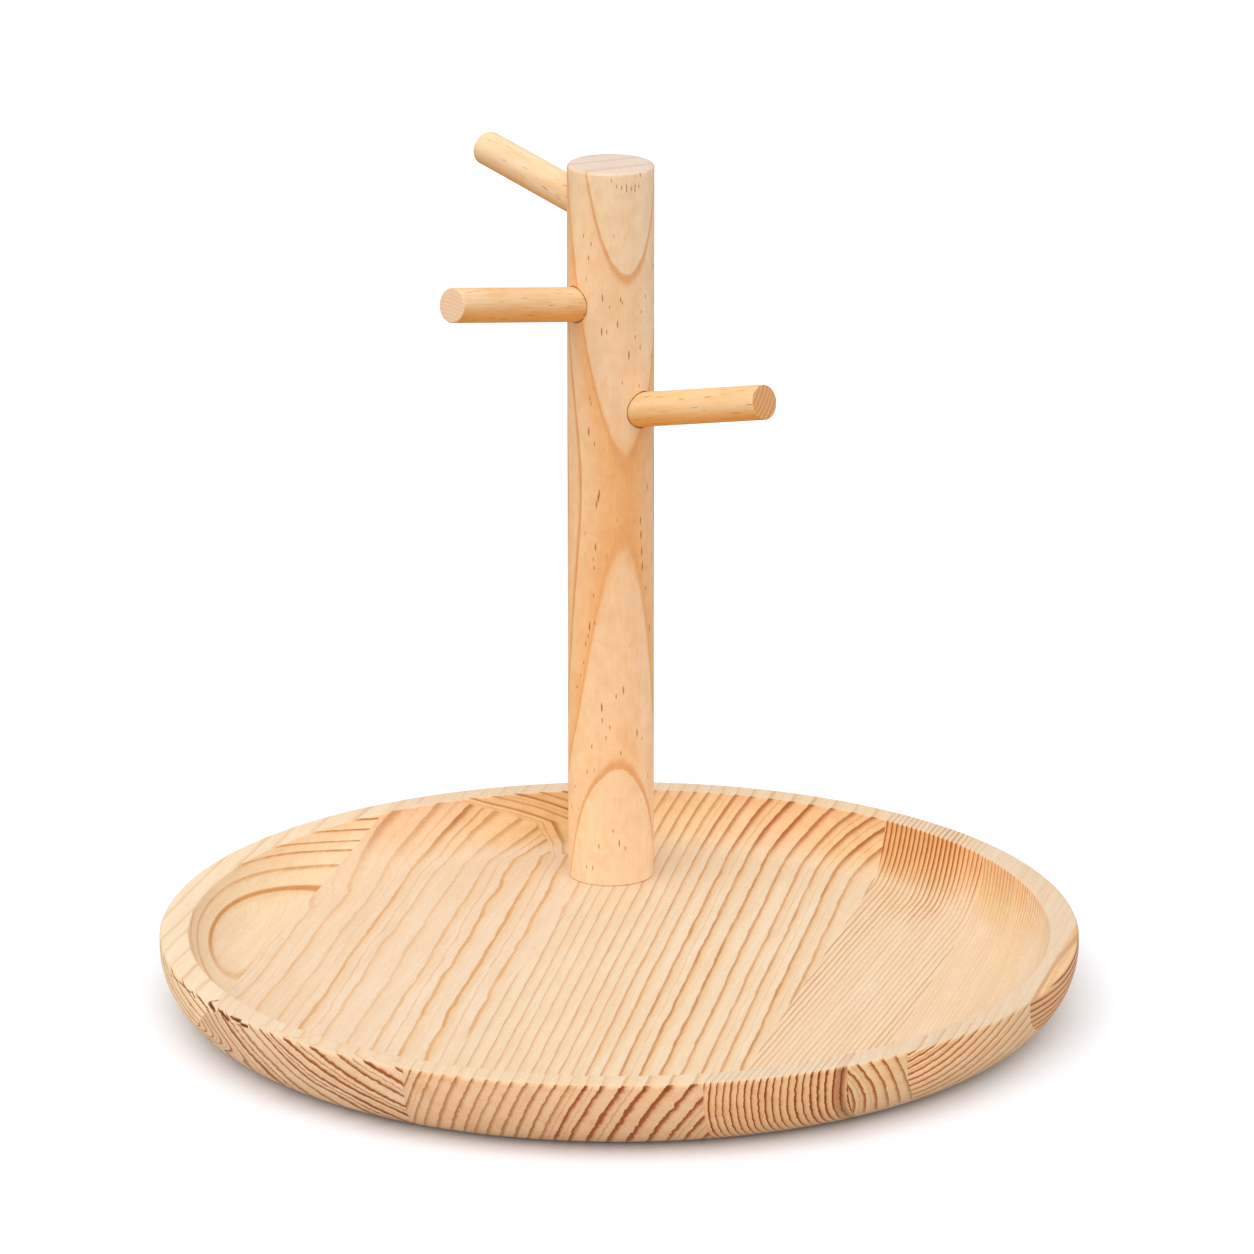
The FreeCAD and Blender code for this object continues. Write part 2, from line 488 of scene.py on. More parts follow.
# --------------------------------------------------------------- pine of a strip
def pine_tray(name, field, seed, face, end, wander=0.10, mid=0.12, jag=0.12,
              line=(0.30, 0.72, 0.87, 0.92), halo_k=1.0, strength=(0.55, 1.0), halves=0.0,
              end_k=(1.25, 1.5), wide=0.0, wall=1.0, rim_k=0.5, rim_tint=None, wall_tone_and_light=(),
              side_painted_light=None, rim_front=None):
    """Solid pine: growth rings from a field over the strip's section, so that
    face grain, end grain and every cut through the same strip agree.

    field(g, a, l, z, L, r) gives the ring count at a point, how dark the rings
    are there and, where it has one, a single broad ring. face and end are
    (earlywood, transition, latewood) tones. wide broadens the rings on end
    grain, wall is their strength on the inner wall of the dish, and rim_k how
    much fainter they are on top of the rim, with rim_front at its front end. The
    tints belong to the top of the rim, to the inner wall at the back, where each of
    the wall tints comes in over a stretch of a and is partly the wood's tone and
    partly painted light, and to the outer side, where the tint is painted light
    that makes it paler.
    """
    g = Nodes(name)
    P, Nrm = g.coord()
    a = g.mul(g.dot(P, N_AX), 1000.0)
    l = g.mul(g.dot(P, U_AX), 1000.0)
    z = g.mul(g.dot(P, (0, 0, 1)), 1000.0)
    L = g.mul(l, 0.01)
    r = g.m("SQRT", g.add(g.mul(a, a), g.mul(l, l)))
    # how far the surface cuts across the fibres
    e = g.m("ABSOLUTE", g.dot(Nrm, U_AX))
    e = g.ramp(e, 0.15, 0.72)
    # inner wall of the dish
    inner = g.mul(g.ramp(r, 148.5, 146.5), g.mul(g.ramp(z, 9.3, 12.5), g.ramp(z, 25.9, 25.3)))
    # wandering of the rings along and across the strip: slow, short and jagged
    slow = g.noise(g.vec(g.mul(a, 1 / 26.0), g.mul(l, 1 / 62.0), g.mul(z, 1 / 26.0)),
                   detail=1.5, rough=0.45, w=seed)
    short = g.noise(g.vec(g.mul(a, 1 / 14.0), g.mul(l, 1 / 24.0), g.mul(z, 1 / 14.0)),
                    detail=1.0, rough=0.5, w=seed + 6.2)
    fine = g.noise(g.vec(g.mul(a, 1 / 1.8), g.mul(l, 1 / 10.0), g.mul(z, 1 / 1.8)),
                   detail=2.5, rough=0.6, w=seed + 3.7)
    got = field(g, a, l, z, L, r)
    ph, dark = got[0], got[1]
    band = got[2] if len(got) > 2 else None
    ph = g.mad(g.sub(slow, 0.5), wander * 2.6, ph)
    ph = g.mad(g.sub(short, 0.5), mid * 2.4, ph)
    uneven = g.mul(g.mad(e, 0.9, 1.0), g.mad(inner, -0.65, 1.0))
    ph = g.mad(g.mul(g.sub(fine, 0.5), uneven), jag * 1.6, ph)
    brk = g.noise(g.vec(g.mul(a, 1 / 2.6), g.mul(l, 1 / 26.0), g.mul(z, 1 / 2.6)),
                  detail=3.0, rough=0.6, w=seed + 8.1)
    whole = g.ramp(brk, 0.30, 0.60, 0.55, 1.0)
    whole = g.m("MAXIMUM", whole, e)
    # rim top: the rings are fainter there
    rim = g.mul(g.ramp(z, 25.2, 25.8), g.sub(1.0, e))
    fade = -rim_k if rim_front is None else g.ramp(l, -85.0, -45.0, -rim_front, -rim_k)
    amount = g.mul(dark, g.mad(rim, fade, 1.0))
    amount = g.mul(amount, g.mad(inner, wall - 1.0, 1.0))

    def rings(p, salt, h0, c0, c1, cut0, lo, hi):
        t = g.m("FRACT", p)
        rnd = g.hash1(g.add(g.m("FLOOR", p), seed * 1.37 + salt))
        s = g.mul(g.ramp(rnd, 0.0, 1.0, lo, hi, smooth=False), amount)
        cut = g.ramp(t, cut0, cut0 + 0.055, 1.0, 0.0)
        halo = g.mul(g.mul(g.ramp(t, h0, c1), cut), s)
        core = g.mul(g.mul(g.mul(g.ramp(t, c0, c1), cut), s), whole)
        deep = g.mul(g.mul(g.ramp(t, c0 - wide, c1), cut), s) if wide else core
        return halo, core, deep

    halo, core, deep = rings(ph, 0.0, line[0], line[1], line[2], line[3], strength[0], strength[1])
    halo = g.mul(halo, halo_k)
    if halves:
        h2, c2, d2 = rings(g.mad(ph, 2.0, 0.12), 4.0, 0.5, 0.74, 0.87, 0.91, -0.55 * halves, halves)
        core = g.m("MAXIMUM", core, c2)
        deep = g.m("MAXIMUM", deep, d2)
    if band is not None:
        core = g.m("MAXIMUM", core, band)
        deep = g.m("MAXIMUM", deep, band)
    # fibres: long thin streaks on a face, specks on end grain
    fib = g.noise(g.vec(g.mul(a, 1 / 0.5), g.mul(l, 1 / 22.0), g.mul(z, 1 / 0.5)),
                  detail=4.0, rough=0.65, w=seed + 1.9)
    broad = g.noise(g.vec(g.mul(a, 1 / 34.0), g.mul(l, 1 / 90.0), g.mul(z, 1 / 34.0)),
                    detail=2.0, w=seed + 5.3)
    cf = g.mix(core, g.mix(halo, face[0], face[1]), face[2])
    ce = g.mix(g.mul(halo, end_k[0]), end[0], end[1])
    ce = g.mix(g.mul(deep, end_k[1]), ce, g.mix(g.mul(inner, 0.45), end[2], face[2]))
    mott = g.noise(g.vec(g.mul(a, 1 / 7.0), g.mul(l, 1 / 16.0), g.mul(z, 1 / 5.0)),
                   detail=3.0, rough=0.6, w=seed + 2.8)
    ce = g.mix(g.ramp(mott, 0.45, 0.75, 0.0, 0.6), ce,
               g.mix(1.0, ce, (0.90, 0.78, 0.64, 1.0), "MULTIPLY"))
    col = g.mix(e, cf, ce)
    if rim_tint:
        col = g.mix(rim, col, g.mix(1.0, col, rim_tint, "MULTIPLY"))
    # painted light on the inner wall at the back, partly the wood's tone: each tint lightens or darkens
    # a stretch of it
    for tint, (start, full) in wall_tone_and_light:
        col = g.mix(g.mul(g.mul(inner, g.ramp(l, -10.0, 30.0)), g.ramp(a, start, full)), col,
                    g.mix(1.0, col, tint + (1.0,), "MULTIPLY"))
    # painted light: the outer side of the strip is made paler
    if side_painted_light:
        col = g.mix(g.mul(g.ramp(r, 150.0, 153.0), g.ramp(z, 25.6, 24.8)), col,
                    g.mix(1.0, col, side_painted_light, "MULTIPLY"))
    col = g.mix(g.ramp(broad, 0.3, 0.7, 0.0, 0.7), col,
                g.mix(1.0, col, (0.99, 0.945, 0.88, 1.0), "MULTIPLY"))
    # paler, pinker streaks between the rings
    pale = g.noise(g.vec(g.mul(a, 1 / 3.4), g.mul(l, 1 / 38.0), g.mul(z, 1 / 3.4)),
                   detail=3.0, rough=0.6, w=seed + 9.6)
    col = g.mix(g.ramp(pale, 0.35, 0.70), g.mix(1.0, col, (0.985, 0.96, 0.92, 1.0), "MULTIPLY"),
                g.mix(1.0, col, (1.02, 1.025, 1.05, 1.0), "MULTIPLY"))
    col = g.mix(g.ramp(fib, 0.32, 0.72, 0.0, 0.6), col,
                g.mix(1.0, col, (0.93, 0.86, 0.77, 1.0), "MULTIPLY"))
    grit = g.noise(g.vec(g.mul(a, 1 / 0.6), g.mul(l, 1 / 1.8), g.mul(z, 1 / 0.6)),
                   detail=2.0, rough=0.6, w=seed + 7.4)
    col = g.mix(g.ramp(grit, 0.36, 0.64), g.mix(1.0, col, (1.012, 1.02, 1.03, 1.0), "MULTIPLY"),
                g.mix(1.0, col, (0.98, 0.965, 0.94, 1.0), "MULTIPLY"))
    # latewood is darkest where it was torn at the outer arris
    arris = g.mul(g.ramp(g.add(z, r), 178.4, 180.0), g.ramp(g.dot(Nrm, (0, 0, 1)), 0.93, 0.6))
    col = g.mix(g.mul(g.mul(arris, core), g.mul(e, 0.75)), col, tone(96, 52, 22))
    chip = g.attr("chip")
    ragged = g.mad(g.sub(fine, 0.5), 0.5, chip)
    col = g.mix(g.ramp(ragged, 0.42, 0.66, 0.0, 0.92), col, tone(134, 78, 36))
    col = g.mix(g.ramp(ragged, 0.70, 0.95), col, tone(88, 48, 22))
    g.put(g.bsdf.inputs["Base Color"], col)
    ro = g.mad(core, -0.08, 0.60)
    ro = g.mad(g.sub(fib, 0.5), 0.16, ro)
    ro = g.mad(e, 0.06, ro)
    g.put(g.bsdf.inputs["Roughness"], ro)
    g.bsdf.inputs["Specular IOR Level"].default_value = 0.25
    g.put(g.bsdf.inputs["Normal"], g.bump(fib, 0.10, 0.00015))
    return g.mat


def cylinder_field(a0, a1, z0, z1, rings, span, dark, flip=False, band=None, inside=None,
                   bundle=None):
    """Rings as cylinders round a pith line a = a0 + a1*L, z = z0 + z1*L.

    band is the radius, half width and strength of one broad ring, and how much
    of it is left at the front; inside is the first place, the step and the
    strengths low and high on the wall of straight rings that show within the
    rim; bundle is the radius and half width of a group of darker rings, the
    stretch of l over which it comes in, and how much darker it is.
    """
    def f(g, a, l, z, L, r):
        da = g.sub(a, g.mad(L, a1, a0))
        dz = g.sub(z, g.mad(L, z1, z0))
        rho = g.m("SQRT", g.add(g.mul(da, da), g.mul(dz, dz)))
        lo, hi = span
        ph = g.curve(rho, lo, hi, rings)
        if flip:
            ph = g.sub(0.9, ph)
        else:
            ph = g.add(ph, 0.88)
        d = g.curve(rho, lo, hi, dark, smooth=True)
        if bundle:
            off = g.m("ABSOLUTE", g.sub(rho, bundle[0]))
            at = g.mul(g.ramp(off, bundle[1], bundle[1] * 0.3), g.ramp(l, bundle[2], bundle[3]))
            d = g.mad(at, bundle[4], d)
        if inside:
            w = g.ramp(r, 147.2, 146.2)
            straight = g.mul(g.sub(a, inside[0]), 1.0 / inside[1])
            ph = g.mad(g.sub(straight, ph), w, ph)
            d = g.mad(g.sub(g.ramp(z, 11.0, 22.0, inside[2], inside[3]), d), w, d)
        if not band:
            return ph, d
        off = g.m("ABSOLUTE", g.sub(rho, band[0]))
        wide = g.ramp(off, band[1] * 0.35, band[1] * 1.3, band[2], 0.0)
        return ph, d, g.mul(wide, g.ramp(l, -46.0, -14.0, band[3], 1.0))
    return f


def ring_list(radii, lo, hi):
    """(radius, count) points for evenly continued rings over lo..hi."""
    pts = [(r, float(i)) for i, r in enumerate(radii)]
    step = radii[1] - radii[0]
    if radii[0] > lo:
        pts.insert(0, (lo, -(radii[0] - lo) / step))
    step = radii[-1] - radii[-2]
    if radii[-1] < hi:
        pts.append((hi, pts[-1][1] + (hi - radii[-1]) / step))
    return pts


def even(first, step, lo, hi):
    return [(lo, (lo - first) / step), (hi, (hi - first) / step)]


# rings of the wide left strip where they come out on the front edge, as their
# places across the grain at 18 mm height
EDGE_2 = [-124.0, -120.5, -117.0, -113.5, -110.0, -106.4, -102.7, -96.8, -88.3, -81.4, -76.1,
          -69.0, -60.1, -49.0, -38.1, -27.5]


def field_2(g, a, l, z, L, r):
    def base(a, L, Z):
        A = g.mul(a, 1 / 50.0)
        s = g.mad(Z, 0.477, 2.722)
        s = g.mad(L, -0.554, s)
        s = g.mad(A, 1.046, s)
        s = g.mul(s, Z)
        q = g.mad(A, -0.189, 5.673)
        q = g.mad(L, 0.318, q)
        s = g.mad(q, A, s)
        s = g.mad(L, 0.799, s)
        return g.add(s, 14.48)

    s = base(a, L, g.mul(g.sub(z, 15.0), 0.1))
    # on the back wall the floor's rings run on upwards to the right; close to the
    # post others come down from the rim and meet them in pointed arches
    turn = g.mad(g.m("ARCTAN2", l, a), math.degrees(1.0), -math.degrees(GRAIN))
    up = g.m("ARCCOSINE", g.mul(g.sub(FLOOR_T + COVE_R, z), 1.0 / COVE_R))
    up = g.mul(up, 1.0 / math.radians(79.14))
    drop = g.curve(up, 0.0, 1.0, [(0.0, 12.5), (0.306, 12.9), (0.611, 11.5), (0.778, 7.0),
                                  (0.875, 4.0), (1.0, 0.0)])
    c = g.add(turn, drop)
    rising = g.mad(up, 16.2, turn)
    falling = g.mad(c, 1.25, 99.5 - 1.25 * 112.0)
    at = g.mad(g.sub(falling, rising), g.ramp(c, 112.12, 111.88), rising)
    at = g.mul(g.add(at, math.degrees(GRAIN)), math.radians(1.0))
    run = base(g.mul(g.m("COSINE", at), FLOOR_R), g.mul(g.m("SINE", at), 0.01 * FLOOR_R),
               0.1 * (FLOOR_T - 15.0))
    w = g.mul(g.mul(g.ramp(r, 124.4, 124.9), g.ramp(r, 146.9, 146.3)),
              g.mul(g.ramp(z, 9.0, 9.19), g.ramp(l, 0.0, 5.0)))
    s = g.mad(g.sub(run, s), w, s)
    # on the front edge they lean to the right on the way down
    h = g.sub(z, 18.0)
    lean = g.curve(g.mad(h, 1.7, a), -130.0, -25.0,
                   [(-130, 1.15), (-106, 1.15), (-97, 1.28), (-88, 1.45), (-76, 1.56),
                    (-69, 2.1), (-60, 2.4), (-25, 2.4)], smooth=True)
    out = g.curve(g.mad(lean, h, a), -132.0, -15.0, ring_list(EDGE_2, -132.0, -15.0))
    out = g.sub(out, 4.0)
    w = g.mul(g.ramp(r, 150.5, 154.3), g.ramp(l, 20.0, -20.0))
    s = g.mad(g.sub(out, s), w, s)
    d = g.curve(a, -130.0, -30.0, [(-130, 0.58), (-105, 0.66), (-85, 0.72), (-60, 0.82),
                                   (-45, 1.0), (-30, 1.0)], smooth=True)
    return g.sub(0.88, s), d


def field_7(g, a, l, z, L, r):
    ph = g.mul(g.mad(g.sub(a, 149.5), 0.42, g.sub(z, 22.3)), -1 / 2.3)
    # on top of the rim one broad ring runs along the joint and swings outwards
    off = g.sub(a, g.ramp(l, -12.0, 34.0, 150.0, 152.6))
    top = g.mul(g.ramp(off, -2.2, -0.2, 0.15, 0.40), g.ramp(off, 0.2, 1.4, 1.0, 0.0))
    top = g.mul(top, g.ramp(z, 25.2, 25.8))
    return g.add(ph, 0.88), g.m("ADD", g.mul(L, 0.0), 1.0), top


CREAM = tone(248, 222, 188)
K_END = 0.95
END = (tone(252, 212, 164, K_END), tone(238, 182, 122, K_END), tone(176, 102, 48, K_END))

S3_RINGS = [82.0, 87.0, 92.2, 97.6, 102.4, 107.4, 111.9, 117.0, 122.7, 128.4, 134.3,
            139.5, 143.9, 148.2, 152.0, 156.0, 160.2, 164.4, 168.2, 171.6, 175.8, 180.4,
            184.7, 188.1, 191.9, 194.8, 198.0]

wood = [
    pine_tray("pine_1", cylinder_field(
        -84.5, -0.8, 137.8, 2.1,
        ring_list([111.8, 115.2, 118.0, 121.1, 124.2, 126.4, 129.8, 133.5, 138.0, 142.5], 100, 160),
        (100.0, 160.0), [(100, 0.8), (121, 0.8), (126, 1.0), (131.5, 0.8), (134, 0.3), (138, 0.3),
                         (160, 0.6)],
        flip=True, band=(133.3, 0.40, 0.95, 0.3)), 11.0,
        (tone(250, 226, 192), tone(243, 205, 154), tone(216, 150, 80)),
        (tone(255, 226, 188, K_END), tone(244, 196, 146, K_END), tone(172, 102, 52, K_END)),
        wander=0.07, mid=0.06, jag=0.08, line=(0.5, 0.70, 0.88, 0.925), halo_k=0.6,
        end_k=(1.25, 1.7), rim_tint=(1.03, 1.05, 1.10), wall_tone_and_light=(((1.05, 1.05, 1.01), (-40.0, -60.0)),),
        side_painted_light=(1.13, 1.12, 1.10)),
    pine_tray("pine_2", field_2, 23.0,
              (tone(248, 223, 194), tone(244, 208, 164), tone(221, 163, 94)),
              (tone(253, 217, 180, K_END), tone(236, 182, 128, K_END), tone(168, 99, 50, K_END)),
              wander=0.12, mid=0.12, jag=0.12, line=(0.42, 0.77, 0.88, 0.925),
              strength=(0.45, 0.95), halves=0.6, end_k=(1.5, 2.2), wide=0.17, wall=0.60,
              wall_tone_and_light=(((0.86, 0.80, 0.56), (-100.0, -50.0)),)),
    pine_tray("pine_3", cylinder_field(
        133.8, -9.3, -57.3, -2.9, ring_list(S3_RINGS, 78, 204), (78.0, 204.0),
        [(78, 0.9), (104, 0.9), (110, 1.0), (134, 1.0), (142, 0.85), (150, 0.55), (165, 0.45),
         (176, 0.6), (185, 0.5), (204, 0.45)]), 37.0,
        (tone(248, 224, 192), tone(240, 199, 150), tone(196, 134, 74)),
        (tone(249, 207, 165, K_END), tone(231, 171, 119, K_END), tone(164, 92, 48, K_END)),
        wander=0.08, mid=0.07, jag=0.12, line=(0.36, 0.74, 0.88, 0.925), strength=(0.6, 1.0),
        halves=0.3, wide=0.15, end_k=(1.25, 1.6), wall=0.74,
        wall_tone_and_light=(((1.04, 1.16, 1.17), (28.0, -14.0)), ((0.95, 0.95, 0.88), (30.0, 62.0)))),
    pine_tray("pine_4", cylinder_field(
        203.4, 6.2, 11.8, 1.2, even(94.4, 1.98, 85, 152), (85.0, 152.0),
        [(85, 1.0), (97, 1.0), (101, 0.85), (106, 0.6), (115, 0.55), (128, 0.55), (134, 0.8),
         (137, 1.15), (152, 1.15)], band=(94.3, 1.6, 0.2, 1.0), bundle=(123.0, 10.0, 60.0, 100.0, 1.5)),
        41.0,
        (tone(248, 223, 191), tone(240, 202, 158), tone(200, 138, 80)),
        (tone(250, 200, 148, K_END), tone(224, 150, 90, K_END), tone(146, 72, 30, K_END)),
        wander=0.28, mid=0.14, jag=0.16, line=(0.20, 0.58, 0.84, 0.90), strength=(0.5, 1.0),
        end_k=(1.5, 2.9), wall=0.9, rim_k=0.2, rim_tint=(0.94, 0.97, 1.03),
        wall_tone_and_light=(((0.89, 0.875, 0.78), (102.0, 76.0)),)),
    pine_tray("pine_5", cylinder_field(
        92.1, 0.0, 13.0, 0.0, even(13.8, 2.95, 8, 40), (8.0, 40.0),
        [(8, 1.0), (18, 0.8), (40, 0.6)], inside=(104.5, 1.5, 0.3, 0.6)), 53.0,
        (tone(248, 221, 188), tone(242, 204, 160), tone(222, 166, 108)), END,
        wander=0.12, mid=0.12, halves=0.5, end_k=(1.4, 1.9), wide=0.12, rim_k=0.75,
        rim_tint=(0.93, 0.97, 1.05), wall_tone_and_light=(((0.93, 0.90, 0.82), (90.0, 100.0)),)),
    pine_tray("pine_6", cylinder_field(
        113.5, 0.0, 47.4, 0.0, even(25.7, 2.3, 15, 70), (15.0, 70.0),
        [(15, 1.1), (40, 1.1), (70, 1.0)], inside=(120.5, 1.2, 0.35, 0.5)), 61.0,
        (tone(247, 219, 184), tone(240, 200, 152), tone(218, 160, 102)),
        (tone(255, 214, 166, 1.0), tone(246, 188, 128, 1.0), tone(176, 100, 47, 1.0)),
        wander=0.12, mid=0.14, jag=0.16, halves=0.4, end_k=(1.4, 2.2), wide=0.22, rim_k=0.88,
        rim_front=0.35, rim_tint=(0.92, 0.96, 1.04), side_painted_light=(1.08, 1.04, 1.02),
        wall_tone_and_light=(((1.03, 1.09, 1.18), (126.0, 138.0)),)),
    pine_tray("pine_7", field_7, 71.0,
              (tone(246, 196, 146, 0.95), tone(222, 150, 92, 0.95), tone(146, 76, 34)),
              (tone(246, 184, 122), tone(214, 138, 80), tone(132, 62, 26)),
              wander=0.16, mid=0.16, line=(0.25, 0.50, 0.84, 0.92), strength=(0.75, 1.0),
              end_k=(1.5, 2.6), rim_k=0.85, rim_tint=(0.96, 1.08, 1.17)),
]


# ------------------------------------------------------------------- pine post
# short dark resin streaks: (angle about the post, height), small and large ones
SMALL = [
    (-90.4, 262.5), (-83.5, 260.5), (-76.9, 260.0), (-49.2, 263.7), (-129.4, 242.5),
    (-70.4, 260.3), (-70.1, 259.1), (-63.3, 259.4), (-57.5, 260.1), (-57.9, 258.7), (-51.7, 259.8),
    (-117.9, 240.0), (-121.7, 235.0), (-92.9, 218.2), (-96.7, 209.5), (-78.3, 220.7),
    (-76.2, 219.5), (-57.5, 207.0), (-47.1, 215.5), (-39.2, 220.5), (-49.2, 203.0),
    (-76.2, 191.2), (-51.2, 189.5), (-113.3, 169.5), (-120.0, 185.5), (-118.3, 183.7),
    (-114.8, 115.0), (-113.3, 105.0), (-123.1, 100.0), (-130.4, 90.0), (-135.6, 85.0),
    (-145.0, 80.5), (-141.9, 80.7), (-127.3, 97.0), (-114.2, 125.0), (-115.4, 128.0),
    (-38.3, 116.2), (-103.3, 70.0), (-92.9, 67.5), (-98.1, 63.7), (-117.9, 60.0),
    (-78.3, 58.0), (-45.4, 62.0), (-84.6, 78.7), (-148.1, 43.7), (-125.2, 50.5),
    (-157.5, 35.5), (-88.7, 29.5), (-107.9, 23.7), (-72.1, 23.0), (-126.2, 15.5),
    (-116.9, 15.5), (-32.5, 47.5), (-21.7, 198.7), (-16.9, 230.0),
]
LARGE = [
    (-102.3, 221.2),
    (-103.3, 209.5), (-82.5, 212.0), (-66.9, 200.7), (-121.7, 173.5), (-108.5, 150.0),
    (-110.6, 148.0), (-106.9, 152.0), (-112.1, 132.5), (-121.0, 103.7), (-34.6, 152.5),
    (-48.7, 141.2), (-47.5, 136.2), (-46.2, 130.0), (-45.2, 124.5), (-28.7, 101.2),
    (-103.7, 74.5), (-74.6, 80.7), (-54.4, 64.5), (-80.4, 25.0),
]


def pine_post():
    g = Nodes("pine_post")
    P, Nrm = g.coord()
    q = g.vmad(P, (1000.0, 1000.0, 1000.0), (-POST_X, -POST_Y, 0.0))
    sep = g.t.nodes.new("ShaderNodeSeparateXYZ")
    g.put(sep.inputs[0], q)
    x, y, z = sep.outputs
    slow = g.noise(g.vec(g.mul(x, 1 / 16.0), g.mul(y, 1 / 16.0), g.mul(z, 1 / 55.0)),
                   detail=1.5, rough=0.45, w=3.1)
    fine = g.noise(g.vec(g.mul(x, 1 / 1.2), g.mul(y, 1 / 1.2), g.mul(z, 1 / 6.0)),
                   detail=2.5, rough=0.6, w=6.4)
    # rings are nearly flat across the dowel and bow along its length, so they
    # come out on the wall as a U near the top, a saddle and an arch at the foot
    am = math.radians(-73.5)
    across = g.add(g.mul(x, math.cos(am)), g.mul(y, math.sin(am)))
    side = g.add(g.mul(x, -math.sin(am)), g.mul(y, math.cos(am)))
    zz = g.mul(g.sub(z, 140.5), 1 / 88.0)
    f = g.mad(g.m("SQRT", g.mad(zz, zz, 0.25)), 19.0, g.sub(across, 9.5))
    f = g.mad(g.mul(zz, 0.096), side, f)
    f = g.mad(g.mul(side, side), g.ramp(zz, -0.75, -1.2, 0.0, 0.017), f)
    f = g.mad(g.mul(zz, g.m("EXPONENT", g.mul(g.mul(zz, zz), -5.67))), -4.84, f)
    ph = g.curve(f, -30.0, 44.0, ring_list([-19.0, -10.0, -1.5, 7.05, 15.4, 26.7, 39.0], -30.0, 44.0))
    ph = g.mad(g.sub(slow, 0.5), 0.07, ph)
    ph = g.mad(g.sub(fine, 0.5), 0.035, ph)
    t = g.m("FRACT", g.add(ph, 20.88))
    cut = g.ramp(t, 0.884, 0.905, 1.0, 0.0)
    # the ring round the flanks is broader and darker than those across the front
    flank = g.ramp(f, 11.0, 9.0)
    lw = g.mul(g.ramp(t, g.mad(flank, -0.13, 0.80), 0.872), cut)
    soft = g.mul(g.ramp(g.m("ABSOLUTE", g.add(zz, 0.15)), 0.25, 0.75, 0.45, 0.0), g.ramp(f, 10.0, 12.0))
    lw = g.mul(lw, g.sub(1.0, soft))
    halo = g.mul(g.ramp(t, 0.50, 0.872), cut)
    # honey tone: strongest inside the saddle, palest within the U and the arch
    honey = g.curve(f, -30.0, 44.0, [(-30, 0.4), (0, 0.45), (6.9, 0.65), (7.5, 0.5), (12, 0.75),
                                     (15.2, 1.1), (16.2, 0.35), (20, 0.3), (26.4, 0.42), (27.2, 0.2),
                                     (32, 0.1), (44, 0.05)])
    fib = g.noise(g.vec(g.mul(x, 1 / 0.45), g.mul(y, 1 / 0.45), g.mul(z, 1 / 18.0)),
                  detail=4.0, rough=0.65, w=1.3)
    ray = g.noise(g.vec(g.mul(x, 1 / 1.4), g.mul(y, 1 / 1.4), g.mul(z, 1 / 0.8)),
                  detail=2.0, rough=0.6, w=9.3)
    broad = g.noise(g.vec(g.mul(x, 1 / 18.0), g.mul(y, 1 / 18.0), g.mul(z, 1 / 70.0)),
                    detail=2.0, w=4.4)
    e = g.ramp(g.m("ABSOLUTE", g.dot(Nrm, (0, 0, 1))), 0.4, 0.9)
    col = g.mix(g.mul(honey, 0.8), lin(249, 219, 184), lin(242, 178, 110))
    bold = g.mad(g.ramp(f, 19.0, 24.0), 0.16, g.mad(flank, 0.3, 0.5))
    col = g.mix(g.mul(lw, bold), col, lin(220, 148, 82))
    col = g.mix(g.ramp(broad, 0.3, 0.7, 0.0, 0.6), col,
                g.mix(1.0, col, (1.0, 0.95, 0.89, 1.0), "MULTIPLY"))
    col = g.mix(g.ramp(fib, 0.32, 0.70, 0.0, 0.5), col,
                g.mix(1.0, col, (0.95, 0.89, 0.81, 1.0), "MULTIPLY"))
    col = g.mix(g.ramp(ray, 0.40, 0.70, 0.0, 0.5), col,
                g.mix(1.0, col, (0.98, 0.93, 0.86, 1.0), "MULTIPLY"))
    blot = g.noise(g.vec(g.mul(x, 1 / 3.4), g.mul(y, 1 / 3.4), g.mul(z, 1 / 5.5)),
                   detail=3.5, rough=0.62, w=7.7)
    col = g.mix(g.ramp(blot, 0.38, 0.66), g.mix(1.0, col, (1.015, 1.03, 1.05, 1.0), "MULTIPLY"),
                g.mix(1.0, col, (0.97, 0.93, 0.875, 1.0), "MULTIPLY"))
    # painted light: both flanks of the post are made paler
    col = g.mix(g.ramp(side, 2.0, 9.5), col, g.mix(1.0, col, (1.06, 1.13, 1.23, 1.0), "MULTIPLY"))
    col = g.mix(g.ramp(side, -8.0, -14.0), col, g.mix(1.0, col, (1.06, 1.08, 1.08, 1.0), "MULTIPLY"))
    # cut end: greyer and paler, with the rings as faint bands
    endc = g.mix(g.mul(halo, 0.5), tone(240, 217, 199, 0.88), tone(212, 178, 154, 0.88))
    endc = g.mix(g.ramp(fine, 0.35, 0.75, 0.0, 0.5), endc, tone(224, 197, 178, 0.88))
    col = g.mix(e, col, endc)
    # placed streaks
    s = g.mul(g.m("ARCTAN2", y, x), POST_R)
    sz = g.vec(s, z, 0.0)
    near = None
    for marks, w, ln in ((SMALL, 0.24, 1.05), (LARGE, 0.34, 1.9)):
        for ang, h in marks:
            c = math.radians(ang) * POST_R
            v = g.vlen(g.vmad(sz, (1 / w, 1 / ln, 0.0), (-c / w, -h / ln, 0.0)))
            near = v if near is None else g.m("MINIMUM", near, v)
    wob = g.mad(g.sub(fine, 0.5), 1.1, near)
    mark = g.ramp(wob, 0.35, 1.15, 1.0, 0.0)
    # fainter scattered ones all round
    dist, dc = g.voronoi(g.vec(g.mul(x, 1 / 4.0), g.mul(y, 1 / 4.0), g.mul(z, 1 / 13.0)))
    few = g.mul(g.ramp(dist, 0.03, 0.10, 0.5, 0.0), g.ramp(fine, 0.42, 0.6))
    mark = g.m("MAXIMUM", mark, few)
    mark = g.mul(mark, g.sub(1.0, e))
    col = g.mix(g.mul(mark, 0.85), col, lin(158, 88, 37))
